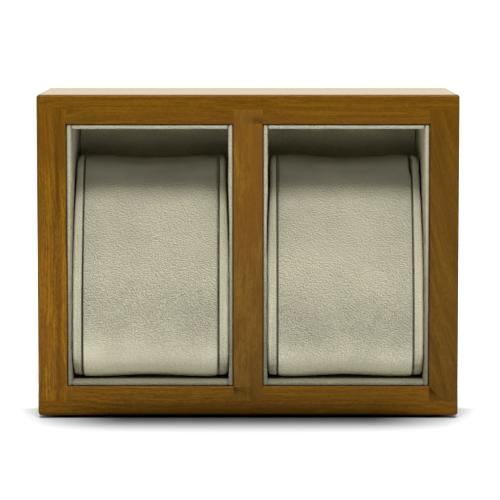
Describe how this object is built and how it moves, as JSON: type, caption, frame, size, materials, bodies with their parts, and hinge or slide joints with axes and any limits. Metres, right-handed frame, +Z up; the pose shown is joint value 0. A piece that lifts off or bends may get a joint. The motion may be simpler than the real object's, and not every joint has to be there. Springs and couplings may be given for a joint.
{
  "type": "watch storage box",
  "caption": "Open-fronted solid wood watch box with suede-lined bays, each holding a loose padded suede cushion for one watch.",
  "frame": {"origin": "centre of the footprint, on the surface that the felt feet stand on", "axes": "+X to the right along the case's width, +Y from the open front to the back panel, +Z up"},
  "size_m": [0.144, 0.065, 0.111],
  "materials": {
    "wood": "satin",
    "plywood": "matte",
    "brads": "satin",
    "felt": "matte",
    "card": "matte",
    "lining_suede": "matte",
    "cushion_suede": "matte",
    "foam": "matte"
  },
  "bodies": {
    "case": {"top_board": "wood", "bottom_board": "wood", "left_board": "wood", "right_board": "wood", "centre_divider": "wood", "back_panel": "plywood", "back_panel_brads": "brads", "front_left_foot": "felt", "front_right_foot": "felt", "rear_left_foot": "felt", "rear_right_foot": "felt", "left_bay_top_card": "card", "left_bay_top_suede": "lining_suede", "left_bay_floor_card": "card", "left_bay_floor_suede": "lining_suede", "left_bay_outer_card": "card", "left_bay_outer_suede": "lining_suede", "left_bay_inner_card": "card", "left_bay_inner_suede": "lining_suede", "left_bay_back_card": "card", "left_bay_back_suede": "lining_suede", "right_bay_top_card": "card", "right_bay_top_suede": "lining_suede", "right_bay_floor_card": "card", "right_bay_floor_suede": "lining_suede", "right_bay_outer_card": "card", "right_bay_outer_suede": "lining_suede", "right_bay_inner_card": "card", "right_bay_inner_suede": "lining_suede", "right_bay_back_card": "card", "right_bay_back_suede": "lining_suede"},
    "left_cushion": {"left_cushion_core": "foam", "left_cushion_band": "cushion_suede", "left_cushion_outer_cheek_card": "card", "left_cushion_outer_cheek_cover": "cushion_suede", "left_cushion_inner_cheek_card": "card", "left_cushion_inner_cheek_cover": "cushion_suede"},
    "right_cushion": {"right_cushion_core": "foam", "right_cushion_band": "cushion_suede", "right_cushion_outer_cheek_card": "card", "right_cushion_outer_cheek_cover": "cushion_suede", "right_cushion_inner_cheek_card": "card", "right_cushion_inner_cheek_cover": "cushion_suede"}
  },
  "joints": [
    {"name": "left_cushion_slide", "type": "slide", "parent": "case", "child": "left_cushion", "axis": [0, -1, 0], "range_m": [0, 0.06]},
    {"name": "right_cushion_slide", "type": "slide", "parent": "case", "child": "right_cushion", "axis": [0, -1, 0], "range_m": [0, 0.06]}
  ]
}
